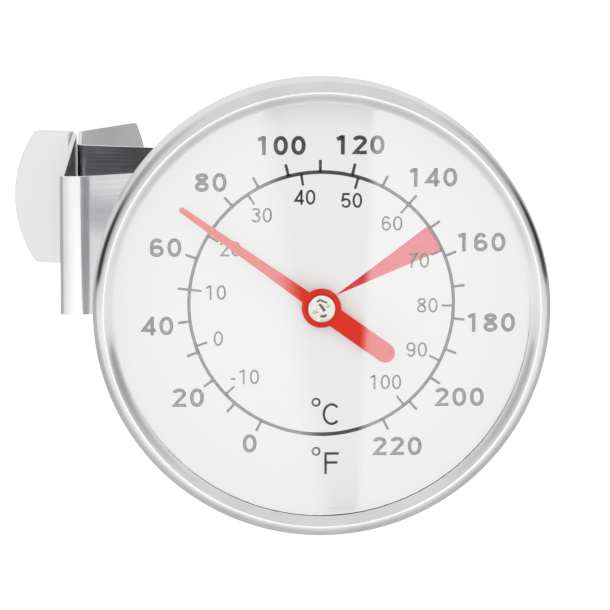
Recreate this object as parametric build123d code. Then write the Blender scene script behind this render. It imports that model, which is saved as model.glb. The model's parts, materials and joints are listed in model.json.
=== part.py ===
"""A bimetal dial probe thermometer with a spring clip for the rim of a jug or pan.

The origin is the centre of the hexagon nut's seat face. +Y runs along the stem to its tip,
the dial faces -Y, and +Z is twelve o'clock on the dial. All lengths are in millimetres.
"""

from build123d import *
import os
from math import cos, radians, sin, sqrt, tan

# ---- driving dimensions ----------------------------------------------------------------
dial_diameter = 45.0  # outside of the bezel
stem_diameter = 3.8
stem_length = 127.0  # nut seat to tip
nut_across_flats = 8.0
nut_length = 5.5
strip_width = 15.0  # the clip's spring strip
strip_thickness = 0.5
sheet = 0.4  # case and bezel sheet

running_clearance = 0.05
loose_clearance = 0.1
overshoot = 1.0  # how far a cutting tool runs past the face it cuts

# ---- stations along the stem axis (Y), from the nut seat towards the glass ---------------
nut_front = -nut_length
seal_thickness = 0.5
case_back = nut_front - seal_thickness
case_floor = case_back - sheet
dial_thickness = 0.4
dial_back = case_floor - 4.0
dial_face = dial_back - dial_thickness
glass_back = dial_face - 3.2
glass_thickness = 1.5
glass_front = glass_back - glass_thickness
bezel_front = glass_front - 0.5
gasket_thickness = 0.5
cup_rim = glass_back + gasket_thickness
bezel_rear = case_back - 2.9

# ---- radii of the case -------------------------------------------------------------------
bezel_radius = dial_diameter / 2
bezel_bore = bezel_radius - sheet
bezel_crest_outer = bezel_radius - 0.75
bezel_crest_inner = bezel_radius - 1.35
bezel_opening = bezel_radius - 1.9
lip_slope = 0.35  # how steeply the lip leaves the crest, on its way down to the glass
cup_radius = bezel_bore - running_clearance
cup_bore = cup_radius - sheet
cup_corner = 2.8
glass_radius = bezel_bore - 0.2
glass_bevel = 0.2
spacer_radius = cup_bore - loose_clearance
spacer_bore = bezel_opening - 0.2
dial_radius = cup_bore - loose_clearance
support_radius = cup_bore - cup_corner
support_wall = 1.4

# ---- nut, seal and the friction joint that lets the case turn on the stem ------------------
nut_apothem = nut_across_flats / 2
nut_chamfer = 0.1  # how far the chamfer reaches in from the flats
hub_radius = 3.0
hub_end = case_floor - 1.9
snap_ring_thickness = 0.4
snap_ring_radius = 4.3
snap_groove_depth = 0.35
snap_groove_play = 0.02
snap_mouth_share = 0.55  # of the ring's bore
washer_rise = 0.6
washer_thickness = 0.3
washer_radius = 4.8
snap_ring_back = case_floor - washer_rise - washer_thickness

# ---- stem, spindle and bimetal coil ---------------------------------------------------------
stem_radius = stem_diameter / 2
stem_bore = stem_radius - 0.3
stem_head = hub_end + 0.3
tube_end = stem_length - stem_radius
tip_plug_length = 2.0
immersion_mark = stem_length - 47.0
mark_depth = 0.15
mark_half_width = 0.5
spindle_radius = 0.5
spindle_front = dial_face - 2.9
spindle_rear = 86.0
bearing_flange = 0.6
bearing_length = 4.0
guide_length = 2.5
guide_stations = (22.0, 52.0)
collar_length = 3.0
collar_radius = 1.3
coil_start = spindle_rear
coil_end = 119.0
coil_radius = 1.15
coil_pitch = 2.2
coil_strip_width = 1.4
coil_strip_thickness = 0.16
anchor_length = 3.0

# ---- pointer -----------------------------------------------------------------------------
pointer_angle = 144.5  # anticlockwise from three o'clock, seen from the front
needle_reach = 17.1
needle_root_width = 1.3
needle_tip_width = 0.6
tail_reach = 8.7
tail_width = 1.95
pointer_ring_radius = 1.95
pointer_thickness = 0.25
pointer_back = dial_face - 2.3
pointer_hub_radius = 1.33
pointer_hub_collar = 1.7
pointer_hub_front = dial_face - 3.0
pointer_hub_back = dial_face - 1.6
pointer_slot_width = 0.25
pointer_slot_depth = 0.25
pointer_slot_share = 0.7  # of the hub's diameter
pointer_slot_turn = 25.0
dial_hole_radius = 1.2

# ---- clip: stations are (X, Y) on the strip's middle line --------------------------------------
leg_front = (-26.0, 34.85)
facet_bend = (-23.5, 34.85)
front_panel_slope = 0.50
back_panel_slope = -0.35
jaw_x = -24.32
jaw_front_y = 65.9
jaw_rear_y = 80.6
leg_rear = (-24.92, 78.3)
tab_lean = 22.0  # degrees, outwards and away from the dial
tab_reach = 6.45
tab_shoulder = 0.3  # the strip's full width ends this far from the tab's bend
flap_lean = 55.7
flap_reach = 13.8
end_radius = 12.7
end_corner = 0.6
tab_width = 13.5
sleeve_width = 15.4
sleeve_thickness = 1.9
sleeve_overhang = 0.9
sleeve_setback = 0.45  # from the tab's bend
sleeve_rounding = 0.4
sleeve_fit = 0.03
fold_radius = 2.0
bend_radii = (0.5, 0.75, 2.5, fold_radius, 1.5, 1.5)

stem_axis = Axis.Y


def turned(*points):
    """A solid of revolution about the stem from its section's corners, each (radius, Y)."""
    section = make_face(Polyline(*points, close=True))
    return revolve(section, stem_axis)


def ring(inner, outer, y_low, y_high):
    """A plain ring or, with no inner radius, a disc about the stem."""
    return turned((inner, y_low), (outer, y_low), (outer, y_high), (inner, y_high))


def shaft(radius, y_low, y_high):
    """A solid cylinder about the stem."""
    return ring(0, radius, y_low, y_high)


def across(y):
    """A sketching plane square to the stem, seen from the front: X right and Z up."""
    return Plane(origin=(0, y, 0), x_dir=(1, 0, 0), z_dir=(0, -1, 0))


# ---- case -----------------------------------------------------------------------------------
def case_cup():
    """A drawn cup with a round corner and a hole in its floor for the nut's hub."""
    outside = shaft(cup_radius, cup_rim, case_back)
    back_edge = outside.edges().filter_by(GeomType.CIRCLE).sort_by(Axis.Y)[-1]
    outside = fillet(back_edge, cup_corner)
    inside = shaft(cup_bore, cup_rim, case_floor)
    floor_edge = inside.edges().filter_by(GeomType.CIRCLE).sort_by(Axis.Y)[-1]
    inside = fillet(floor_edge, cup_corner - sheet)
    hub_hole = shaft(hub_radius + running_clearance, case_floor - overshoot, case_back + overshoot)
    return outside - inside - hub_hole


def bezel_ring():
    """The bright ring: a straight skirt over the cup, a rounded shoulder, a flat crest and a lip on the glass."""
    shoulder = bezel_radius - bezel_crest_outer
    lip = bezel_crest_inner - bezel_opening
    skirt_front = bezel_front + shoulder
    outline = [
        Line((bezel_bore, bezel_rear), (bezel_radius, bezel_rear)),
        Line((bezel_radius, bezel_rear), (bezel_radius, skirt_front)),
        TangentArc((bezel_radius, skirt_front), (bezel_crest_outer, bezel_front), tangent=(0, -1)),
        Line((bezel_crest_outer, bezel_front), (bezel_crest_inner, bezel_front)),
        TangentArc((bezel_crest_inner, bezel_front), (bezel_opening, glass_front), tangent=(-1, lip_slope * lip)),
        Line((bezel_opening, glass_front), (bezel_bore, glass_front)),
        Line((bezel_bore, glass_front), (bezel_bore, bezel_rear)),
    ]
    return revolve(make_face(Wire(outline)), stem_axis)


def glass_lens():
    """The flat window, with a small bevel round its front edge."""
    disc = shaft(glass_radius, glass_front, glass_back)
    front_edge = disc.edges().filter_by(GeomType.CIRCLE).sort_by(Axis.Y)[0]
    return chamfer(front_edge, glass_bevel)


def lens_gasket():
    return ring(spacer_radius + loose_clearance / 2, cup_radius, glass_back, cup_rim)


def dial_spacer_ring():
    """The polished ring that holds the dial plate back and the glass forward."""
    return ring(spacer_bore, spacer_radius, glass_back, dial_face)


def dial_plate():
    return ring(dial_hole_radius, dial_radius, dial_face, dial_back)


def dial_support_ring():
    return ring(support_radius - support_wall, support_radius, dial_back, case_floor)


# ---- stem -------------------------------------------------------------------------------------
def calibration_nut():
    """A hexagon nut with chamfered corners and a grooved hub that goes through the case's floor."""
    hexagon = RegularPolygon(nut_apothem, 6, major_radius=False)
    body = extrude(across(0) * hexagon, nut_length)
    corner_radius = nut_apothem / cos(radians(30))
    bevel = corner_radius - nut_apothem + nut_chamfer
    drop = bevel * tan(radians(30))
    envelope = turned(
        (0, nut_front),
        (corner_radius - bevel, nut_front),
        (corner_radius, nut_front + drop),
        (corner_radius, -drop),
        (corner_radius - bevel, 0),
        (0, 0),
    )
    groove_front = snap_ring_back - snap_ring_thickness - snap_groove_play
    groove = ring(hub_radius - snap_groove_depth, hub_radius + overshoot, groove_front, snap_ring_back)
    hub = shaft(hub_radius, hub_end, nut_front) - groove
    return (body & envelope) + hub - shaft(stem_radius, hub_end - overshoot, overshoot)


def seal_washer():
    return ring(hub_radius + running_clearance, nut_apothem - nut_chamfer, case_back, nut_front)


def spring_washer():
    """A coned washer that presses the case's floor against the nut, so that the case turns stiffly."""
    bore = hub_radius + loose_clearance
    return turned(
        (bore, snap_ring_back),
        (bore, snap_ring_back + washer_thickness),
        (washer_radius, case_floor),
        (washer_radius, case_floor - washer_thickness),
    )


def snap_ring():
    """An open ring that snaps into the hub's groove."""
    bore = hub_radius - snap_groove_depth + running_clearance
    closed = ring(bore, snap_ring_radius, snap_ring_back - snap_ring_thickness, snap_ring_back)
    mouth = Pos(0, snap_ring_back, -snap_ring_radius) * Box(2 * bore * snap_mouth_share, 2, snap_ring_radius)
    return closed - mouth


def stem_tube():
    """The thin stem tube, with a shallow rolled mark above the sensing end."""
    mark = [
        (stem_radius, immersion_mark - mark_half_width),
        (stem_radius - mark_depth, immersion_mark),
        (stem_radius, immersion_mark + mark_half_width),
    ]
    rolled = ThreePointArc(*mark)
    outline = [
        Line((stem_bore, stem_head), (stem_radius, stem_head)),
        Line((stem_radius, stem_head), mark[0]),
        rolled,
        Line(mark[2], (stem_radius, tube_end)),
        Line((stem_radius, tube_end), (stem_bore, tube_end)),
        Line((stem_bore, tube_end), (stem_bore, stem_head)),
    ]
    return revolve(make_face(Wire(outline)), stem_axis)


def stem_tip():
    """The welded end plug, domed outside."""
    dome = Pos(0, tube_end, 0) * Sphere(stem_radius)
    front_half = shaft(stem_radius + overshoot, tube_end, stem_length + overshoot)
    plug = shaft(stem_bore, tube_end - tip_plug_length, tube_end)
    return (dome & front_half) + plug


def upper_bearing():
    """The flanged bush at the stem's head that the spindle turns in."""
    bore = spindle_radius + running_clearance
    flange = ring(bore, stem_radius, stem_head - bearing_flange, stem_head)
    barrel = ring(bore, stem_bore, stem_head, stem_head + bearing_length)
    return flange + barrel


def spindle_guides():
    """Two plain guide bushes inside the tube."""
    bore = spindle_radius + running_clearance
    bushes = [ring(bore, stem_bore, y, y + guide_length) for y in guide_stations]
    return Compound(children=bushes)


def coil_anchor():
    """The plug that fixes the coil's lower end to the tube."""
    return shaft(stem_bore, coil_end, coil_end + anchor_length)


def bimetal_coil():
    """A flat bimetal strip wound as a helix. Its top turns the spindle and its foot is fixed."""
    height = coil_end - coil_start - coil_strip_width
    start = coil_start + coil_strip_width / 2
    path = Helix(pitch=coil_pitch, height=height, radius=coil_radius, center=(0, start, 0), direction=(0, 1, 0))
    tangent = path % 0
    radial = Vector((path @ 0).X, 0, (path @ 0).Z).normalized()
    section = Plane(origin=path @ 0, x_dir=radial, z_dir=tangent) * Rectangle(coil_strip_thickness, coil_strip_width)
    return sweep(section, path=path, is_frenet=True)


# ---- pointer -----------------------------------------------------------------------------------
def spindle():
    """The long shaft from the coil to the pointer, with a screwdriver slot in its front end."""
    shaft_body = shaft(spindle_radius, spindle_front, spindle_rear)
    return shaft_body - pointer_slot()


def coil_collar():
    """The collar that carries the coil's moving end."""
    return ring(spindle_radius, collar_radius, coil_start - collar_length, coil_start)


def pointer_slot():
    slot = Box(2 * pointer_hub_radius * pointer_slot_share, pointer_slot_depth, pointer_slot_width)
    return Pos(0, pointer_hub_front + pointer_slot_depth / 2, 0) * Rot(0, -pointer_slot_turn, 0) * slot


def pointer_hub():
    """The turned bush that carries the needle on the spindle."""
    barrel = ring(spindle_radius, pointer_hub_radius, pointer_hub_front, pointer_hub_back)
    collar = ring(spindle_radius, pointer_hub_collar, pointer_back, pointer_hub_back)
    return barrel + collar - pointer_slot()


def pointer():
    """The flat needle: a tapered blade, a ring round the hub and a wide round-ended tail."""
    tip_radius = needle_tip_width / 2
    tip_start = needle_reach - tip_radius
    blade = make_face(
        Wire(
            [
                Line((0, -needle_root_width / 2), (tip_start, -tip_radius)),
                ThreePointArc((tip_start, -tip_radius), (needle_reach, 0), (tip_start, tip_radius)),
                Line((tip_start, tip_radius), (0, needle_root_width / 2)),
                Line((0, needle_root_width / 2), (0, -needle_root_width / 2)),
            ]
        )
    )
    tail_middle = (tail_reach - tail_width / 2) / 2
    tail = Pos(-tail_middle, 0) * SlotCenterToCenter(2 * tail_middle, tail_width)
    outline = blade + tail + Circle(pointer_ring_radius) - Circle(pointer_hub_radius)
    return extrude(across(pointer_back) * Rot(0, 0, pointer_angle) * outline, pointer_thickness)


# ---- clip --------------------------------------------------------------------------------------
def heading(degrees_deeper, side):
    """A unit step across the stem to one side that goes deeper by an angle."""
    return (side * cos(radians(degrees_deeper)), sin(radians(degrees_deeper)))


def ahead(point, step, length):
    return (point[0] + step[0] * length, point[1] + step[1] * length)


def clip_stations():
    """The strip's corners, from the finger tab's end round the stem to the inner flap's end."""
    tab_end = ahead(leg_rear, heading(tab_lean, -1), tab_reach)
    flap_start = (jaw_x, jaw_rear_y)
    flap_end = ahead(flap_start, heading(flap_lean, 1), flap_reach)
    front_at_zero = facet_bend[1] - front_panel_slope * facet_bend[0]
    back_at_zero = jaw_front_y - back_panel_slope * jaw_x
    fold_x = (back_at_zero - front_at_zero) / (front_panel_slope - back_panel_slope)
    fold = (fold_x, front_at_zero + front_panel_slope * fold_x)
    jaw_front = (jaw_x, jaw_front_y)
    return [tab_end, leg_rear, leg_front, facet_bend, fold, jaw_front, flap_start, flap_end]


def tongue(width, reach, radius=end_radius):
    """A round-ended tongue that ends at x = 0 and runs back towards -x."""
    corner_x = sqrt(radius**2 - (width / 2) ** 2) - radius
    low = (corner_x, -width / 2)
    high = (corner_x, width / 2)
    face = make_face(
        Wire(
            [
                Line((-reach, -width / 2), low),
                ThreePointArc(low, (0, 0), high),
                Line(high, (-reach, width / 2)),
                Line((-reach, width / 2), (-reach, -width / 2)),
            ]
        )
    )
    corners = face.vertices().sort_by(Axis.X)[2:]
    return fillet(corners, end_corner)


def end_plane(end, step):
    """A plane in the strip at one of its ends: x runs outwards along the strip and y across it."""
    outwards = Vector(step[0], step[1], 0)
    return Plane(origin=(end[0], end[1], 0), x_dir=outwards, z_dir=outwards.cross(Vector(0, 0, 1)))


def end_trim(end, step, width, reach):
    """What is cut from the strip so that its end has a tongue's outline."""
    around = Pos((overshoot - reach) / 2, 0) * Rectangle(reach + overshoot, 2 * strip_width)
    waste = around - tongue(width, reach + overshoot)
    return extrude(end_plane(end, step) * waste, 2 * strip_thickness, both=True)


def clip_strip():
    """One spring strip: finger tab, outer leg, front panel, fold, back panel, jaw face and flared flap."""
    stations = clip_stations()
    path = FilletPolyline(*stations, radius=list(bend_radii))
    section_plane = Plane(origin=path @ 0, x_dir=Vector(0, 0, 1), z_dir=path % 0)
    strip = sweep(section_plane * Rectangle(strip_width, strip_thickness), path=path)
    tab_trim = end_trim(stations[0], heading(tab_lean, -1), tab_width, tab_reach - tab_shoulder)
    flap_trim = end_trim(stations[-1], heading(flap_lean, 1), strip_width, flap_reach / 2)
    stem_holes = shaft(stem_radius + running_clearance, leg_front[1], jaw_rear_y)
    return strip - tab_trim - flap_trim - stem_holes


def clip_tab_sleeve():
    """The moulded sleeve pushed over the finger tab, hollow for the tab and open towards the leg."""
    step = heading(tab_lean, -1)
    tab_end = clip_stations()[0]
    sleeve_end = ahead(tab_end, step, sleeve_overhang)
    reach = tab_reach + sleeve_overhang - sleeve_setback
    body = extrude(
        end_plane(sleeve_end, step) * tongue(sleeve_width, reach), sleeve_thickness / 2, both=True
    )
    rims = body.edges().filter_by(lambda edge: edge.length > 2 * end_corner)
    rims = rims.filter_by(lambda edge: abs((edge % 0.5).dot(end_plane(tab_end, step).z_dir)) < 0.1)
    body = fillet(rims.sort_by(lambda edge: -edge.length)[:2], sleeve_rounding)
    pocket_end = ahead(tab_end, step, sleeve_fit)
    pocket = extrude(
        end_plane(pocket_end, step) * tongue(tab_width + 2 * sleeve_fit, tab_reach + overshoot),
        strip_thickness / 2 + sleeve_fit,
        both=True,
    )
    return body - pocket


makers = {
    "case_cup": case_cup,
    "bezel_ring": bezel_ring,
    "glass_lens": glass_lens,
    "lens_gasket": lens_gasket,
    "dial_spacer_ring": dial_spacer_ring,
    "dial_plate": dial_plate,
    "dial_support_ring": dial_support_ring,
    "calibration_nut": calibration_nut,
    "seal_washer": seal_washer,
    "spring_washer": spring_washer,
    "snap_ring": snap_ring,
    "stem_tube": stem_tube,
    "stem_tip": stem_tip,
    "upper_bearing": upper_bearing,
    "spindle_guides": spindle_guides,
    "coil_anchor": coil_anchor,
    "bimetal_coil": bimetal_coil,
    "spindle": spindle,
    "coil_collar": coil_collar,
    "pointer_hub": pointer_hub,
    "pointer": pointer,
    "clip_strip": clip_strip,
    "clip_tab_sleeve": clip_tab_sleeve,
}

os.makedirs("parts", exist_ok=True)
for name, make in makers.items():
    export_step(make(), f"parts/{name}.step")
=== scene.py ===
"""The looks of the dial probe thermometer: printed dial, metals, glass, studio and camera.

Lengths are metres in the CAD frame: the dial faces -Y, +Z is twelve o'clock and the stem runs along +Y.
Helpers that draw flat artwork work in millimetres on the dial's face, X right and Z up, seen from the front.
"""

import bmesh
import bpy
import json
import math
from mathutils import Matrix, Vector


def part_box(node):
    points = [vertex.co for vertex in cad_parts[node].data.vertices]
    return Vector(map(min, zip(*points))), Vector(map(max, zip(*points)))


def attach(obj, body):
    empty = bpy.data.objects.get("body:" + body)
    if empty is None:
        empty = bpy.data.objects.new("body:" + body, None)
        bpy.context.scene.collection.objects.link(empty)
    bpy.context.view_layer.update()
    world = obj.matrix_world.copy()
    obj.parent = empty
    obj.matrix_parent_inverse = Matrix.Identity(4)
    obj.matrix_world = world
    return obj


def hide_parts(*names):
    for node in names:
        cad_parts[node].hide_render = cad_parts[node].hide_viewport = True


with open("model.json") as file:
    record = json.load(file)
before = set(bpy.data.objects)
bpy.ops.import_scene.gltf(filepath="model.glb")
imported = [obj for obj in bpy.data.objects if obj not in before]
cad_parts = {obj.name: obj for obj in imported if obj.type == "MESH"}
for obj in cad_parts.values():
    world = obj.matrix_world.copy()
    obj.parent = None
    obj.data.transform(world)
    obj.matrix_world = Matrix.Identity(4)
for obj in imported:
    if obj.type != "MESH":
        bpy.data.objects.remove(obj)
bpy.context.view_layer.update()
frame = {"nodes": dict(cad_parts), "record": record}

MM = 0.001
dial_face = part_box("dial_plate")[0].y

# ---- the printed scale ---------------------------------------------------------------------
scale_radius = 13.08
circle_width = 0.37
print_offset = (0.08, 0.11)  # the artwork sits this far off the stem's axis
scale_sweep = 305.3  # degrees from 0 to 220 on the outer scale
scale_top = 90.4  # the angle of 110 on the outer scale, from three o'clock
lowest_f = 0
highest_f = 220
ink_thickness = 0.02
fahrenheit_tick = 1.22
fahrenheit_tick_width = 0.3
celsius_tick = 1.2
celsius_tick_width = 0.26
fahrenheit_height = 1.9
fahrenheit_pen = (0.21, 0.75, 0.17)  # stroke weight, width and gap, as shares of the height
celsius_height = 1.5
celsius_pen = (0.15, 0.64, 0.11)
red_zone_c = (65, 70)
red_zone_tip = 1.6  # from the dial's centre


def angle_of(fahrenheit):
    """The direction of a Fahrenheit reading on the dial, anticlockwise from three o'clock, in radians."""
    middle = (lowest_f + highest_f) / 2
    per_degree = scale_sweep / (highest_f - lowest_f)
    return math.radians(scale_top - (fahrenheit - middle) * per_degree)


def to_fahrenheit(celsius):
    return celsius * 9 / 5 + 32


def polar(angle, radius):
    return (radius * math.cos(angle), radius * math.sin(angle))


# ---- flat artwork --------------------------------------------------------------------------
def arc(centre, radii, start, end, steps=20, power=2.0):
    """Points of an ellipse's arc, in degrees. A power over 2 squares its shoulders."""
    points = []
    for i in range(steps + 1):
        a = math.radians(start + (end - start) * i / steps)
        c, s = math.cos(a), math.sin(a)
        x = math.copysign(abs(c) ** (2 / power), c)
        y = math.copysign(abs(s) ** (2 / power), s)
        points.append((centre[0] + radii[0] * x, centre[1] + radii[1] * y))
    return points


def loop(centre, radii, power=2.0):
    """A closed ring, as a list of points that ends where it starts."""
    return arc(centre, radii, 0, 360, 36, power)


def glyph(sign, width, weight):
    """The pen strokes of a character one unit tall, as lists of points on the strokes' middle lines."""
    m = weight / 2
    middle = width / 2
    reach = middle - m
    low_bowl = 0.30
    if sign == "0":
        return [loop((middle, 0.5), (reach, 0.5 - m), 2.15)]
    if sign == "1":
        stem = 0.56 * width
        return [[(stem, 0), (stem, 1)], [(stem, 1 - 0.7 * m), (stem - 0.16, 0.86), (stem - 0.30, 0.79)]]
    if sign == "2":
        bend = arc((middle, 0.71), (reach, 0.29 - m), 168, -32)
        return [bend + [(m * 1.25, m), (width, m)]]
    if sign == "3":
        upper = arc((middle, 0.755), (reach * 0.9, 0.245 - m), 160, -80)
        lower = arc((middle, 0.29), (reach, 0.29 - m), 82, -162)
        return [upper + lower]
    if sign == "4":
        stem = 0.74 * width
        return [[(stem, 0), (stem, 1)], [(stem, 1 - m), (m * 0.9, 0.27), (width, 0.27)]]
    if sign == "5":
        bowl = arc((middle, 0.33), (reach, 0.33 - m), 128, -162)
        return [[(0.9 * width, 1 - m), (0.24 * width, 1 - m), (0.13 * width, 0.50)] + bowl]
    if sign == "6":
        bowl = loop((middle, low_bowl + 0.02), (reach, low_bowl + 0.02 - m))
        return [bowl, arc((middle, 0.5), (reach, 0.5 - m), 180, 38, power=2.2)]
    if sign == "7":
        return [[(0, 1 - m), (width - m, 1 - m)] + arc((width, 0.0), (0.66 * width, 1 - 2 * m), 110, 180, 10)]
    if sign == "8":
        upper = loop((middle, 0.76), (reach * 0.88, 0.24 - m))
        return [upper, loop((middle, 0.285), (reach, 0.285 - m))]
    if sign == "9":
        return [[(width - x, 1 - y) for x, y in stroke] for stroke in glyph("6", width, weight)]
    if sign == "-":
        return [[(0.1, 0.37), (0.46, 0.37)]]
    if sign == "C":
        return [arc((middle, 0.5), (reach, 0.5 - m), 42, 318, 30)]
    if sign == "F":
        return [[(m, 0), (m, 1 - m), (width, 1 - m)], [(m, 0.53), (0.9 * width, 0.53)]]
    raise ValueError(f"no strokes are drawn for {sign!r}")


def ribbon(points, width):
    """The two edges of a flat stroke along its middle line, with mitred bends, as quads' corner points."""
    closed = math.dist(points[0], points[-1]) < 1e-6
    left, right = [], []
    last = len(points) - 1
    for i, here in enumerate(points):
        before = points[i - 1] if i > 0 else (points[last - 1] if closed else None)
        after = points[i + 1] if i < last else (points[1] if closed else None)
        steps = []
        if before:
            steps.append(Vector((here[0] - before[0], here[1] - before[1])).normalized())
        if after:
            steps.append(Vector((after[0] - here[0], after[1] - here[1])).normalized())
        along = sum(steps, Vector((0, 0))).normalized()
        aside = Vector((-along.y, along.x))
        spread = width / 2 / max(0.5, abs(aside.dot(Vector((-steps[0].y, steps[0].x)))))
        left.append((here[0] + aside.x * spread, here[1] + aside.y * spread))
        right.append((here[0] - aside.x * spread, here[1] - aside.y * spread))
    return left, right


class Artwork:
    """Flat closed shapes gathered into one thin plate of ink."""

    def __init__(self):
        self.corners = []
        self.faces = []

    def add(self, outline_faces, points):
        start = len(self.corners)
        self.corners += points
        self.faces += [[start + i for i in face] for face in outline_faces]

    def stroke(self, points, width):
        left, right = ribbon(points, width)
        count = len(left)
        quads = [(i, i + 1, count + i + 1, count + i) for i in range(count - 1)]
        self.add(quads, left + right)

    def fan(self, points):
        self.add([tuple(range(len(points)))], points)

    def text(self, words, centre, height, weight, width, gap):
        """Upright characters, centred on a point. Weight, width and gap are shares of the height."""
        advances = [(0.52 if sign == "-" else width) + gap for sign in words]
        x = centre[0] - (sum(advances) - gap) * height / 2
        for sign, advance in zip(words, advances):
            for stroke in glyph(sign, width, weight):
                placed = [(x + u * height, centre[1] + (v - 0.5) * height) for u, v in stroke]
                self.stroke(placed, weight * height)
            x += advance * height

    def piece(self, name, material, slot="dial_white", body="case_assembly", surface=dial_face):
        """Makes the plate, a little proud of the surface it lies on, as an object that rides with a body."""
        front = surface - ink_thickness * MM
        mesh = bpy.data.meshes.new(name)
        offset_x, offset_z = print_offset
        places = [((x + offset_x) * MM, front, (z + offset_z) * MM) for x, z in self.corners]
        mesh.from_pydata(places, [], self.faces)
        mesh.validate()
        piece = bpy.data.objects.new(name, mesh)
        bpy.context.scene.collection.objects.link(piece)
        mesh.materials.append(material)
        face_front(mesh)
        plate = piece.modifiers.new("plate", "SOLIDIFY")
        plate.thickness = ink_thickness * MM * 0.98
        plate.offset = -1
        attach(piece, body)
        return piece


def face_front(mesh):
    """Turns every face of flat artwork towards the viewer."""
    mesh.update()
    for face in mesh.polygons:
        if face.normal.y > 0:
            face.flip()
    mesh.update()


# ---- materials ----------------------------------------------------------------------------
class Nodes:
    """A short way to build a material's node tree."""

    def __init__(self, name):
        self.material = bpy.data.materials.new(name)
        self.material.use_nodes = True
        self.tree = self.material.node_tree
        self.shader = self.tree.nodes["Principled BSDF"]
        self.place = self.node("ShaderNodeTexCoord").outputs["Object"]

    def node(self, kind, **settings):
        made = self.tree.nodes.new(kind)
        for key, value in settings.items():
            setattr(made, key, value)
        return made

    def link(self, source, target):
        self.tree.links.new(source, target)

    def feed(self, socket, value):
        if isinstance(value, bpy.types.NodeSocket):
            self.link(value, socket)
        else:
            socket.default_value = value

    def math(self, operation, a, b=0.0):
        made = self.node("ShaderNodeMath", operation=operation)
        self.feed(made.inputs[0], a)
        self.feed(made.inputs[1], b)
        return made.outputs[0]

    def parts(self, vector):
        split = self.node("ShaderNodeSeparateXYZ")
        self.link(vector, split.inputs[0])
        return split.outputs

    def joined(self, x, y, z):
        made = self.node("ShaderNodeCombineXYZ")
        for socket, value in zip(made.inputs, (x, y, z)):
            self.feed(socket, value)
        return made.outputs[0]

    def stretched(self, scale, vector=None):
        mapping = self.node("ShaderNodeMapping")
        self.link(vector or self.place, mapping.inputs["Vector"])
        mapping.inputs["Scale"].default_value = scale
        return mapping.outputs[0]

    def noise(self, vector, scale=1.0, detail=3.0, roughness=0.5):
        made = self.node("ShaderNodeTexNoise")
        self.link(vector, made.inputs["Vector"])
        made.inputs["Scale"].default_value = scale
        made.inputs["Detail"].default_value = detail
        made.inputs["Roughness"].default_value = roughness
        return made.outputs["Fac"]

    def ranged(self, value, low, high, from_low=0.3, from_high=0.7):
        """Maps a texture's middle range to low..high."""
        made = self.node("ShaderNodeMapRange")
        self.link(value, made.inputs["Value"])
        made.inputs["From Min"].default_value = from_low
        made.inputs["From Max"].default_value = from_high
        made.inputs["To Min"].default_value = low
        made.inputs["To Max"].default_value = high
        return made.outputs["Result"]

    def blended(self, factor, first, second):
        made = self.node("ShaderNodeMix", data_type="RGBA")
        self.feed(made.inputs["Factor"], factor)
        made.inputs["A"].default_value = (*first, 1)
        made.inputs["B"].default_value = (*second, 1)
        return made.outputs["Result"]

    def bump(self, height, strength, distance):
        made = self.node("ShaderNodeBump")
        made.inputs["Strength"].default_value = strength
        made.inputs["Distance"].default_value = distance
        self.link(height, made.inputs["Height"])
        self.link(made.outputs["Normal"], self.shader.inputs["Normal"])

    def around_stem(self, per_metre, per_turn):
        """Coordinates for marks that run round the stem's axis, as turning and spinning leave them."""
        x, y, z = self.parts(self.place)
        squares = self.math("ADD", self.math("MULTIPLY", x, x), self.math("MULTIPLY", z, z))
        radius = self.math("POWER", squares, 0.5)
        turn = self.math("ARCTAN2", z, x)
        return self.joined(
            self.math("MULTIPLY", radius, per_metre),
            self.math("MULTIPLY", y, per_metre),
            self.math("MULTIPLY", turn, per_turn),
        )


def metal(name, light, dark, roughness, grain, grain_depth=0.00002, spread=0.1):
    """A metal whose grain, a texture vector, shows in its roughness, colour and relief."""
    nodes = Nodes(name)
    lines = nodes.noise(grain(nodes), detail=4)
    smears = nodes.noise(nodes.stretched((160, 160, 160)), detail=3)
    colour = nodes.blended(nodes.ranged(smears, 0, 1), dark, light)
    shader = nodes.shader
    nodes.link(colour, shader.inputs["Base Color"])
    shader.inputs["Metallic"].default_value = 1.0
    scratched = nodes.ranged(lines, 0.7, 1.3)
    handled = nodes.ranged(smears, 1 - spread, 1 + spread)
    uneven = nodes.math("MULTIPLY", scratched, handled)
    nodes.link(nodes.math("MULTIPLY", uneven, roughness), shader.inputs["Roughness"])
    nodes.bump(lines, 0.12, grain_depth)
    return nodes.material


def turned_grain(per_metre=9000, per_turn=2.0):
    return lambda nodes: nodes.around_stem(per_metre, per_turn)


def straight_grain(scale):
    return lambda nodes: nodes.stretched(scale)


def plastic(name, colour, shade, roughness, relief=0.00001, texture_scale=2500):
    """A moulded plastic: a fine spark-eroded relief, slight clouding and duller patches."""
    nodes = Nodes(name)
    fine = nodes.noise(nodes.stretched((texture_scale,) * 3), detail=4)
    clouds = nodes.noise(nodes.stretched((90,) * 3), detail=2)
    clouded = nodes.blended(nodes.ranged(clouds, 0, 1), shade, colour)
    nodes.link(clouded, nodes.shader.inputs["Base Color"])
    nodes.link(nodes.ranged(clouds, roughness * 1.15, roughness * 0.85), nodes.shader.inputs["Roughness"])
    nodes.shader.inputs["IOR"].default_value = 1.49
    nodes.bump(fine, 0.25, relief)
    return nodes.material


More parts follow.
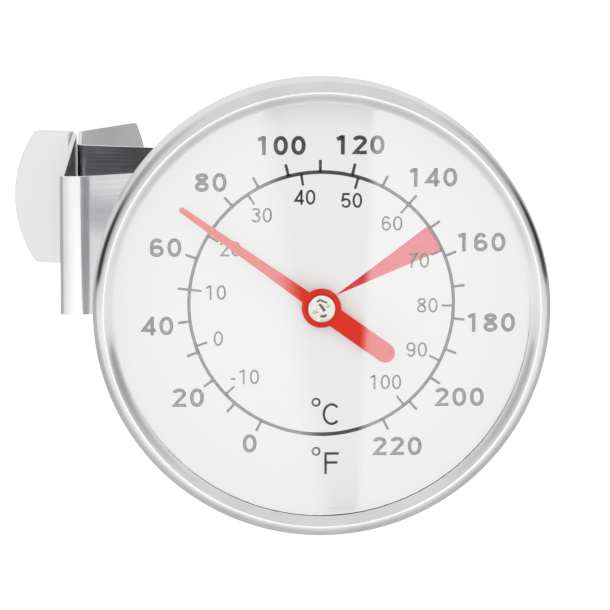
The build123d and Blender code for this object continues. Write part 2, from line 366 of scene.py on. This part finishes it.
def enamel(name, colour, shade, roughness, gloss=0.5):
    """A baked coat on sheet metal, with faint orange peel."""
    nodes = Nodes(name)
    peel = nodes.noise(nodes.stretched((1400,) * 3), detail=2)
    clouds = nodes.noise(nodes.stretched((70,) * 3), detail=3)
    clouded = nodes.blended(nodes.ranged(clouds, 0, 1), shade, colour)
    nodes.link(clouded, nodes.shader.inputs["Base Color"])
    nodes.link(nodes.ranged(peel, roughness * 0.9, roughness * 1.1), nodes.shader.inputs["Roughness"])
    nodes.shader.inputs["Specular IOR Level"].default_value = gloss
    nodes.bump(peel, 0.15, 0.00002)
    return nodes.material


def ink(name, colour, thin_colour):
    """Screen-printed ink: nearly flat, with slightly thinner specks."""
    nodes = Nodes(name)
    specks = nodes.noise(nodes.stretched((3500,) * 3), detail=3)
    printed = nodes.blended(nodes.ranged(specks, 0, 1), thin_colour, colour)
    nodes.link(printed, nodes.shader.inputs["Base Color"])
    nodes.link(nodes.ranged(specks, 0.5, 0.62), nodes.shader.inputs["Roughness"])
    nodes.bump(specks, 0.1, 0.00001)
    return nodes.material


def window_glass(name):
    """Clear glass that lets lamps through, with faint wiping marks in its polish."""
    nodes = Nodes(name)
    shader = nodes.shader
    shader.inputs["Base Color"].default_value = (0.985, 0.995, 0.99, 1)
    shader.inputs["Transmission Weight"].default_value = 1.0
    shader.inputs["IOR"].default_value = 1.5
    wiped = nodes.noise(nodes.stretched((260, 60, 900)), detail=3)
    nodes.link(nodes.ranged(wiped, 0.0, 0.012), shader.inputs["Roughness"])
    clear = nodes.node("ShaderNodeBsdfTransparent")
    light_path = nodes.node("ShaderNodeLightPath")
    either = nodes.node("ShaderNodeMixShader")
    shadow, diffuse = (light_path.outputs[ray] for ray in ("Is Shadow Ray", "Is Diffuse Ray"))
    lighting = nodes.math("MAXIMUM", shadow, diffuse)
    nodes.link(lighting, either.inputs[0])
    nodes.link(shader.outputs[0], either.inputs[1])
    nodes.link(clear.outputs[0], either.inputs[2])
    nodes.link(either.outputs[0], nodes.tree.nodes["Material Output"].inputs["Surface"])
    return nodes.material


steel_light = (0.80, 0.80, 0.81)
steel_dark = (0.70, 0.70, 0.715)
brass_light = (0.80, 0.66, 0.38)
brass_dark = (0.66, 0.50, 0.26)
spindle_light = (0.62, 0.60, 0.55)
spindle_dark = (0.45, 0.43, 0.39)

finishes = {
    "bezel_ring": (
        "bezel_steel",
        metal("bezel_steel", steel_light, steel_dark, 0.15, turned_grain()),
    ),
    "case_cup": (
        "case_steel",
        metal("case_steel", steel_light, steel_dark, 0.28, turned_grain(6000)),
    ),
    "dial_spacer_ring": (
        "spacer_metal",
        metal("spacer_metal", (0.93, 0.93, 0.93), (0.88, 0.88, 0.89), 0.3, turned_grain(12000)),
    ),
    "calibration_nut": (
        "nut_steel",
        metal("nut_steel", steel_light, (0.62, 0.62, 0.63), 0.25, turned_grain(7000)),
    ),
    "stem_tube": (
        "stem_steel",
        metal("stem_steel", steel_light, steel_dark, 0.18, turned_grain(7000, 3.0)),
    ),
    "stem_tip": (
        "stem_steel",
        metal("stem_tip_steel", steel_light, (0.6, 0.6, 0.6), 0.24, turned_grain(9000)),
    ),
    "clip_strip": (
        "clip_steel",
        metal("clip_steel", steel_light, steel_dark, 0.17, straight_grain((120, 120, 9000)), 0.000008),
    ),
    "spring_washer": (
        "spring_steel",
        metal("washer_steel", (0.6, 0.6, 0.61), (0.45, 0.45, 0.47), 0.3, turned_grain()),
    ),
    "snap_ring": (
        "spring_steel",
        metal("snap_ring_steel", (0.5, 0.5, 0.52), (0.38, 0.38, 0.4), 0.32, turned_grain(4000)),
    ),
    "spindle": (
        "spindle_steel",
        metal("spindle_steel", spindle_light, spindle_dark, 0.3, straight_grain((9000, 200, 9000))),
    ),
    "bimetal_coil": (
        "bimetal_strip",
        metal("bimetal", (0.66, 0.61, 0.53), (0.5, 0.47, 0.42), 0.3, turned_grain(5000, 1.0)),
    ),
    "upper_bearing": (
        "bearing_brass",
        metal("bearing_brass", brass_light, brass_dark, 0.22, turned_grain()),
    ),
    "spindle_guides": (
        "bearing_brass",
        metal("guide_brass", brass_light, brass_dark, 0.26, turned_grain()),
    ),
    "coil_anchor": (
        "bearing_brass",
        metal("anchor_brass", brass_light, brass_dark, 0.3, turned_grain()),
    ),
    "coil_collar": (
        "bearing_brass",
        metal("collar_brass", brass_light, brass_dark, 0.26, turned_grain()),
    ),
    "pointer_hub": (
        "hub_metal",
        metal("hub_metal", (0.66, 0.63, 0.55), (0.44, 0.41, 0.34), 0.35, turned_grain(5000, 6.0)),
    ),
    "lens_gasket": (
        "seal_rubber",
        plastic("gasket_rubber", (0.05, 0.05, 0.05), (0.03, 0.03, 0.03), 0.6),
    ),
    "seal_washer": (
        "seal_rubber",
        plastic("washer_rubber", (0.05, 0.05, 0.05), (0.03, 0.03, 0.03), 0.65),
    ),
    "dial_support_ring": (
        "support_plastic",
        plastic("support_plastic", (0.72, 0.71, 0.68), (0.66, 0.65, 0.62), 0.5),
    ),
    "clip_tab_sleeve": (
        "sleeve_white",
        plastic("sleeve_white", (0.90, 0.90, 0.905), (0.87, 0.87, 0.87), 0.38),
    ),
    "dial_plate": (
        "dial_white",
        enamel("dial_white", (0.86, 0.86, 0.86), (0.83, 0.83, 0.83), 0.45),
    ),
    "pointer": (
        "pointer_red",
        enamel("pointer_red", (0.68, 0.022, 0.006), (0.61, 0.017, 0.005), 0.35, 0.15),
    ),
    "glass_lens": ("window_glass", window_glass("window_glass")),
}
dark_ink = ink("dark_ink", (0.033, 0.033, 0.035), (0.06, 0.06, 0.062))
red_ink = ink("red_ink", (0.62, 0.012, 0.03), (0.70, 0.03, 0.05))
# painted shade: a near-black metal for the hub's punch marks and slot, standing in for the shade inside them
painted_dent_shade = metal("painted_dent_shade", (0.16, 0.145, 0.12), (0.08, 0.07, 0.06), 0.4, turned_grain(5000, 6.0))


# ---- finished pieces that stand for CAD nodes -------------------------------------------------
def in_mm(node):
    """A node's lowest and highest corners in millimetres."""
    return tuple(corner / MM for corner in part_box(node))


def quarter(outer, inner, steps=14):
    """A quarter ellipse in a section, from the outer point, where it runs along the axis, inwards."""
    reach = outer[0] - inner[0]
    rise = inner[1] - outer[1]
    turns = [math.pi / 2 * i / steps for i in range(steps + 1)]
    return [(inner[0] + reach * math.cos(t), outer[1] + rise * math.sin(t)) for t in turns]


def rounded(corners, steps=6):
    """A section's outline from its corners, each (radius, Y, rounding)."""
    outline = []
    for i, (radius, y, rounding) in enumerate(corners):
        here = Vector((radius, y))
        before = (Vector(corners[i - 1][:2]) - here).normalized()
        after = (Vector(corners[(i + 1) % len(corners)][:2]) - here).normalized()
        if rounding == 0:
            outline.append(tuple(here))
            continue
        half = before.angle(after) / 2
        centre = here + (before + after).normalized() * rounding / math.sin(half)
        start = here + before * rounding / math.tan(half) - centre
        end = here + after * rounding / math.tan(half) - centre
        whole = start.angle_signed(end)
        for k in range(steps + 1):
            turned = Matrix.Rotation(-whole * k / steps, 2) @ start
            outline.append(tuple(centre + turned))
    return outline


def stands_for(mesh, node):
    """Makes a mesh into the finished piece that replaces a CAD node, on the node's body and with its finish.
    """
    piece = bpy.data.objects.new(node + "_finished", mesh)
    bpy.context.scene.collection.objects.link(piece)
    mesh.materials.clear()
    mesh.materials.append(finishes[node][1])
    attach(piece, body_of[node])
    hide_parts(node)
    weighted = piece.modifiers.new("flat faces stay flat", "WEIGHTED_NORMAL")
    weighted.keep_sharp = True
    weighted.weight = 50
    return piece


def lathed(node, outline, steps=256):
    """A turned piece from a closed section outline, each point (radius, Y) in millimetres."""
    mesh = bpy.data.meshes.new(node)
    count = len(outline)
    corners = []
    for k in range(steps):
        turn = 2 * math.pi * k / steps
        across, up = math.cos(turn) * MM, math.sin(turn) * MM
        corners += [(r * across, y * MM, r * up) for r, y in outline]
    faces = []
    for k in range(steps):
        here, there = k * count, (k + 1) % steps * count
        for i in range(count):
            following = (i + 1) % count
            faces.append((here + i, here + following, there + following, there + i))
    mesh.from_pydata(corners, [], faces)
    tidied(mesh)
    return stands_for(mesh, node)


def tidied(mesh, smooth_angle=35):
    """Joins doubled corners, points every face outwards and shades all but the sharp edges smoothly."""
    work = bmesh.new()
    work.from_mesh(mesh)
    bmesh.ops.remove_doubles(work, verts=work.verts, dist=1e-7)
    bmesh.ops.recalc_face_normals(work, faces=work.faces)
    work.to_mesh(mesh)
    work.free()
    mesh.polygons.foreach_set("use_smooth", [True] * len(mesh.polygons))
    mesh.set_sharp_from_angle(angle=math.radians(smooth_angle))


def eased(node, edge_mm, sharp_angle=40, segments=3):
    """A copy of a node with its hard edges rounded off, as tumbling or a mould leaves them."""
    mesh = frame["nodes"][node].data.copy()
    work = bmesh.new()
    work.from_mesh(mesh)
    bmesh.ops.remove_doubles(work, verts=work.verts, dist=1e-6)
    bmesh.ops.dissolve_limit(
        work, angle_limit=math.radians(0.5), verts=work.verts, edges=work.edges
    )
    limit = math.radians(sharp_angle)
    hard = [e for e in work.edges if len(e.link_faces) == 2 and e.calc_face_angle() > limit]
    bmesh.ops.bevel(
        work,
        geom=hard,
        offset=edge_mm * MM,
        segments=segments,
        affect="EDGES",
        profile=0.5,
        clamp_overlap=True,
    )
    work.to_mesh(mesh)
    work.free()
    tidied(mesh, 50)
    return stands_for(mesh, node)


case_sheet = 0.4
crest_inset = 1.07  # the bezel's crest, in from its outside
foot_inset = 2.05  # where its lip meets the glass
roll_depth = 1.15
skirt_edge = 0.15


def bezel():
    """The ring's section: a skirt, a full roll up to a narrow crest, and a lip down onto the glass."""
    low, high = in_mm("bezel_ring")
    outer = high.x
    rear, front = high.y, low.y
    glass = in_mm("glass_lens")[0].y
    crest, foot = outer - crest_inset, outer - foot_inset
    drop = glass - 0.05 - front
    steps = 16
    lip = []
    for i in range(1, steps + 1):
        share = i / steps
        eased_share = (1 - math.cos(math.pi * share)) / 2
        lip.append((crest + (foot - crest) * share, front + drop * (share + eased_share) / 2))
    inside = outer - case_sheet
    skirt = rounded([(inside, rear, skirt_edge), (outer, rear, skirt_edge), (outer, rear - 1, 0)])
    roll = quarter((outer, front + roll_depth), (crest, front))
    under = [(foot, glass), (inside, glass)]
    outline = skirt + roll + lip + under
    lathed("bezel_ring", outline, steps=320)


def cup():
    low, high = in_mm("case_cup")
    outer, back, rim = high.x, high.y, low.y
    corner, hole = 2.8, 3.05
    corners = [
        (hole, back, 0.1),
        (outer, back, corner),
        (outer, rim, 0.1),
        (outer - case_sheet, rim, 0.1),
        (outer - case_sheet, back - case_sheet, corner - case_sheet),
        (hole, back - case_sheet, 0.1),
    ]
    lathed("case_cup", rounded(corners, 10))


def lens():
    """The window, with ground edges."""
    low, high = in_mm("glass_lens")
    outer, ground = high.x, 0.15
    corners = [(0, low.y, 0), (outer, low.y, ground), (outer, high.y, ground), (0, high.y, 0)]
    lathed("glass_lens", rounded(corners, 4))


def spacer():
    low, high = in_mm("dial_spacer_ring")
    outer, bore, edge = high.x, 20.4, 0.1
    corners = [(bore, low.y, edge), (outer, low.y, edge), (outer, high.y, edge), (bore, high.y, edge)]
    lathed("dial_spacer_ring", rounded(corners, 4))


def stem():
    """The tube with its shallow rolled mark, and the domed tip welded into its end."""
    low, high = in_mm("stem_tube")
    tip_low, tip_high = in_mm("stem_tip")
    outer, bore, mark, depth = high.x, 1.6, 80.0, 0.15
    corners = [
        (bore, low.y, 0.05),
        (outer, low.y, 0.1),
        (outer, mark - 0.5, 0.3),
        (outer - depth, mark, 0.5),
        (outer, mark + 0.5, 0.3),
        (outer, high.y, 0.04),
        (bore, high.y, 0),
    ]
    lathed("stem_tube", rounded(corners, 5), steps=128)
    plug = [(0, tip_low.y, 0), (bore, tip_low.y, 0.1), (bore, high.y, 0), (outer, high.y, 0)]
    dome = rounded([(outer, high.y - outer, 0), (outer, tip_high.y, outer), (0, tip_high.y, 0)], 14)[1:]
    lathed("stem_tip", rounded(plug, 4) + dome, steps=128)


body_of = {node: body for body, members in frame["record"]["behaviour"]["bodies"].items() for node in members}
bezel()
cup()
lens()
spacer()
stem()
eased("clip_strip", 0.09)
eased("clip_tab_sleeve", 0.25, segments=4)
eased("pointer", 0.05)
eased("pointer_hub", 0.06)
eased("calibration_nut", 0.12)
for node_name, (_, finish) in finishes.items():
    node_materials = frame["nodes"][node_name].data.materials
    node_materials.clear()
    node_materials.append(finish)


# ---- dial printing -----------------------------------------------------------------------
def ring_line():
    art = Artwork()
    art.stroke(arc((0, 0), (scale_radius, scale_radius), 0, 360, 180), circle_width)
    art.piece("scale_circle", dark_ink)


def tick(art, fahrenheit, length, width):
    """One tick from the circle: a positive length points outwards."""
    a = angle_of(fahrenheit)
    art.stroke([polar(a, scale_radius), polar(a, scale_radius + length)], width)


def fahrenheit_ticks():
    art = Artwork()
    for reading in range(lowest_f, highest_f + 1, 10):
        tick(art, reading, fahrenheit_tick, fahrenheit_tick_width)
    art.piece("fahrenheit_ticks", dark_ink)


def celsius_ticks():
    art = Artwork()
    for reading in range(-10, 101, 10):
        tick(art, to_fahrenheit(reading), -celsius_tick, celsius_tick_width)
    art.piece("celsius_ticks", dark_ink)


def fahrenheit_numbers():
    art = Artwork()
    for reading in range(lowest_f, highest_f + 1, 20):
        words = str(reading)
        a = angle_of(reading)
        radius = 15.8 + 0.15 * math.sin(a) + 0.55 * (len(words) - 1) * abs(math.cos(a))
        art.text(words, polar(a, radius), fahrenheit_height, *fahrenheit_pen)
    art.piece("fahrenheit_numbers", dark_ink)


def celsius_numbers():
    art = Artwork()
    for reading in range(-10, 101, 10):
        words = str(reading)
        a = angle_of(to_fahrenheit(reading))
        digits = len(words.lstrip("-"))
        radius = 10.75 - 0.25 * (digits - 1) ** 2 * abs(math.cos(a))
        art.text(words, polar(a, radius), celsius_height, *celsius_pen)
    art.piece("celsius_numbers", dark_ink)


def unit_sign(name, letter, width, centre):
    """A degree ring and a letter in thin strokes."""
    art = Artwork()
    art.text(letter, centre, 2.2, 0.115, width, 0)
    art.stroke(loop((centre[0] - 1.55, centre[1] + 1.2), (0.36, 0.36)), 0.2)
    art.piece(name, dark_ink)


def red_zone():
    """A wedge that narrows to the stem's axis, with its outer side on the circle."""
    first, last = (angle_of(to_fahrenheit(c)) for c in red_zone_c)
    outer = [polar(first + (last - first) * i / 8, scale_radius) for i in range(9)]
    tip = polar((first + last) / 2, red_zone_tip)
    art = Artwork()
    art.fan([tip] + outer)
    art.piece("red_zone", red_ink)


def staking_marks():
    """The punch marks that hold the hub on the spindle's end, round a slanted slot, drawn flat in dark metal
    as painted shade of the dents and the slot.
    """
    art = Artwork()
    art.stroke([(-0.3, 0.36), (0.0, 0.02), (0.22, -0.34)], 0.3)
    art.stroke([(-0.56, 0.6), (-0.24, 0.8), (0.06, 0.64), (0.46, 0.5)], 0.2)
    art.stroke([(-0.2, -0.8), (0.1, -0.84), (0.4, -0.68)], 0.28)
    front = min(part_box("pointer_hub")[0].y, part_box("spindle")[0].y)
    art.piece("staking_marks", painted_dent_shade, "hub_metal", "pointer_assembly", front)


ring_line()
fahrenheit_ticks()
celsius_ticks()
fahrenheit_numbers()
celsius_numbers()
unit_sign("celsius_sign", "C", 0.82, (1.03, -11.07))
unit_sign("fahrenheit_sign", "F", 0.66, (1.03, -16.0))
red_zone()
staking_marks()


# ---- studio --------------------------------------------------------------------------------
camera_azimuth = -2.15
camera_elevation = 8.1
camera_distance = 0.4945
floor_height = -0.15
floor_half_width = 8.0
# painted light: how strongly the floor glows where the softboxes would light it
floor_painted_glow = 0.4
painted_glow_span = (-0.3, -0.05)  # along Y: a painted pool of the softboxes' light, glowing in front of the object and fading out below it
white = 1.7  # the radiance that shows as plain white
tent_strength = 0.85
flag_level = 0.06  # black flags stand straight out to both sides
tent_levels = ((0.5, 1.0), (0.72, 0.72), (0.88, 0.5), (0.93, flag_level))  # by a direction's sideways lean
softbox_strength = 3.9
softbox_x = (-0.045, 0.10)
softbox_z = (-0.135, 0.0)
box_edge = (-0.0275, -0.0245)  # the left softbox fades here, just outside what the glass mirrors
spill_share = 0.2
# the dark slot's edges: where each stands at z = 0, how far that moves for each metre up, and its softness
slot_left = (0.0038, -0.149, 0.006)
slot_right = (0.0315, 0.038, 0.002)
fill_size = 0.6
fill_watts = 3.65
fill_place = Vector((-0.1, -1.0, 0.25))
shoulder = ((0.4, 0.4), (0.72, 0.72), (0.86, 0.81), (1.14, 0.875), (1.45, 0.96))  # radiance, shown level


def emitting(name):
    """An emission material and its node tree."""
    material = bpy.data.materials.new(name)
    material.use_nodes = True
    tree = material.node_tree
    tree.nodes.clear()
    glow = tree.nodes.new("ShaderNodeEmission")
    output = tree.nodes.new("ShaderNodeOutputMaterial")
    tree.links.new(glow.outputs[0], output.inputs["Surface"])
    return material, tree, glow


def flat_sheet(name, corners, material):
    """A four-cornered sheet of the studio."""
    mesh = bpy.data.meshes.new(name)
    mesh.from_pydata(corners, [], [(0, 1, 2, 3)])
    sheet = bpy.data.objects.new(name, mesh)
    bpy.context.scene.collection.objects.link(sheet)
    mesh.materials.append(material)
    return sheet


def studio_world():
    """A pale tent, plain white to the camera. The metal sees black flags in it, out to both sides."""
    world = bpy.data.worlds.new("studio")
    bpy.context.scene.world = world
    world.use_nodes = True
    tree = world.node_tree
    tree.nodes.clear()
    link = tree.links.new
    direction = tree.nodes.new("ShaderNodeTexCoord").outputs["Generated"]
    split = tree.nodes.new("ShaderNodeSeparateXYZ")
    link(direction, split.inputs[0])
    sideways = tree.nodes.new("ShaderNodeMath")
    sideways.operation = "ABSOLUTE"
    link(split.outputs["X"], sideways.inputs[0])
    ramp_node = tree.nodes.new("ShaderNodeValToRGB")
    ramp = ramp_node.color_ramp
    for position, level in tent_levels:
        stop = ramp.elements.new(position)
        stop.color = (level, level, level, 1)
    ramp.elements[0].color = (1, 1, 1, 1)
    ramp.elements[-1].color = (flag_level, flag_level, flag_level, 1)
    tent = tree.nodes.new("ShaderNodeBackground")
    tent.inputs["Strength"].default_value = tent_strength
    plain = tree.nodes.new("ShaderNodeBackground")
    plain.inputs["Color"].default_value = (1, 1, 1, 1)
    plain.inputs["Strength"].default_value = white
    link(sideways.outputs[0], ramp_node.inputs["Fac"])
    link(ramp_node.outputs["Color"], tent.inputs["Color"])
    light_path = tree.nodes.new("ShaderNodeLightPath")
    choice = tree.nodes.new("ShaderNodeMixShader")
    link(light_path.outputs["Is Camera Ray"], choice.inputs[0])
    link(tent.outputs[0], choice.inputs[1])
    link(plain.outputs[0], choice.inputs[2])
    output = tree.nodes.new("ShaderNodeOutputWorld")
    link(choice.outputs[0], output.inputs["Surface"])


def floor():
    """A plain pale floor, well below the object. It looks white, and glows with a painted pool of the
    softboxes' light in front of the object, which also lights the object from below.
    """
    nodes = Nodes("floor")
    nodes.shader.inputs["Base Color"].default_value = (0.72, 0.72, 0.72, 1)
    nodes.shader.inputs["Roughness"].default_value = 0.9
    nodes.shader.inputs["Emission Color"].default_value = (1, 1, 1, 1)
    camera_ray = nodes.node("ShaderNodeLightPath").outputs["Is Camera Ray"]
    seen = nodes.math("MULTIPLY", camera_ray, white)
    # painted light: an emission that stands in for the softboxes lighting the floor in front of the object
    lit = nodes.ranged(nodes.parts(nodes.place)[1], floor_painted_glow, 0, *painted_glow_span)
    nodes.link(nodes.math("ADD", seen, lit), nodes.shader.inputs["Emission Strength"])
    w = floor_half_width
    corners = [(x, y, floor_height) for x, y in ((-w, -w), (w, -w), (w, w), (-w, w))]
    flat_sheet("floor", corners, nodes.material)


def front_softboxes():
    """Two softboxes seen in the glass, with a dark slot between them that narrows downwards.

    The panel stands in the camera's plane, where a millimetre of glass mirrors two millimetres of panel.
    """
    material, tree, glow = emitting("softboxes")
    link = tree.links.new

    def calculated(operation, first, second):
        made = tree.nodes.new("ShaderNodeMath")
        made.operation = operation
        for socket, value in zip(made.inputs, (first, second)):
            if isinstance(value, bpy.types.NodeSocket):
                link(value, socket)
            else:
                socket.default_value = value
        return made.outputs[0]

    def side(edge_at_zero, lean, softness, direction):
        """0 in the slot, rising to 1 a little way past one of its edges."""
        x, _, z = place
        edge = calculated("ADD", calculated("MULTIPLY", z, lean), edge_at_zero)
        past = calculated("MULTIPLY", calculated("SUBTRACT", x, edge), direction)
        rise = tree.nodes.new("ShaderNodeMapRange")
        rise.interpolation_type = "SMOOTHSTEP"
        link(past, rise.inputs["Value"])
        rise.inputs["From Min"].default_value = -softness / 2
        rise.inputs["From Max"].default_value = softness / 2
        return rise.outputs["Result"]

    split = tree.nodes.new("ShaderNodeSeparateXYZ")
    link(tree.nodes.new("ShaderNodeTexCoord").outputs["Object"], split.inputs[0])
    place = split.outputs
    left = side(*slot_left, -1)
    right = side(*slot_right, 1)
    spill = tree.nodes.new("ShaderNodeMapRange")
    link(place["X"], spill.inputs["Value"])
    spill.inputs["From Min"].default_value, spill.inputs["From Max"].default_value = box_edge
    spill.inputs["To Min"].default_value = spill_share
    lit = calculated("MULTIPLY", calculated("MAXIMUM", left, right), spill.outputs["Result"])
    link(calculated("MULTIPLY", lit, softbox_strength), glow.inputs["Strength"])
    (left_x, right_x), (low_z, high_z) = softbox_x, softbox_z
    outline = ((left_x, low_z), (right_x, low_z), (right_x, high_z), (left_x, high_z))
    corners = [(x, dial_face - camera_distance, z) for x, z in outline]
    panel = flat_sheet("front_softboxes", corners, material)
    panel.visible_camera = False
    panel.visible_shadow = False


def fill_light():
    """A large soft lamp over the camera. Only matt surfaces show it, and the metal keeps its dark sides."""
    data = bpy.data.lights.new("fill", "AREA")
    data.size = fill_size
    data.energy = fill_watts
    lamp = bpy.data.objects.new("fill", data)
    bpy.context.scene.collection.objects.link(lamp)
    lamp.location = fill_place
    lamp.rotation_mode = "QUATERNION"
    lamp.rotation_quaternion = (-fill_place).to_track_quat("-Z", "Y")
    lamp.visible_camera = False
    lamp.visible_glossy = False


def tone():
    """Straight up to a light grey, then a soft shoulder to plain white, as product pictures are finished."""
    view = bpy.context.scene.view_settings
    view.view_transform = "Standard"
    view.use_curve_mapping = True
    curves = view.curve_mapping
    combined = 3  # the curve for all three colours at once
    curves.white_level = (white, white, white)
    curve = curves.curves[combined]
    for seen, shown in shoulder:
        curve.points.new(seen / white, shown)
    curves.update()


# ---- camera ----------------------------------------------------------------------------------
lens_mm = 295.0
aim_right = -1.59  # the view's middle, seen from the dial's centre, in millimetres on the picture plane
aim_up = -0.21


def camera():
    data = bpy.data.cameras.new("camera")
    data.lens = lens_mm
    data.clip_start = 0.01
    data.clip_end = 20
    maker = bpy.data.objects.new("camera", data)
    bpy.context.scene.collection.objects.link(maker)
    azimuth = math.radians(camera_azimuth)
    elevation = math.radians(camera_elevation)
    level = math.cos(elevation)
    back = Vector((math.sin(azimuth) * level, -math.cos(azimuth) * level, math.sin(elevation)))
    turn = (-back).to_track_quat("-Z", "Y")
    right = turn @ Vector((1, 0, 0))
    up = turn @ Vector((0, 1, 0))
    centre = Vector((print_offset[0] * MM, dial_face, print_offset[1] * MM))
    maker.location = centre + back * camera_distance + (right * aim_right + up * aim_up) * MM
    maker.rotation_mode = "QUATERNION"
    maker.rotation_quaternion = turn
    bpy.context.scene.camera = maker


studio_world()
floor()
front_softboxes()
fill_light()
camera()
tone()
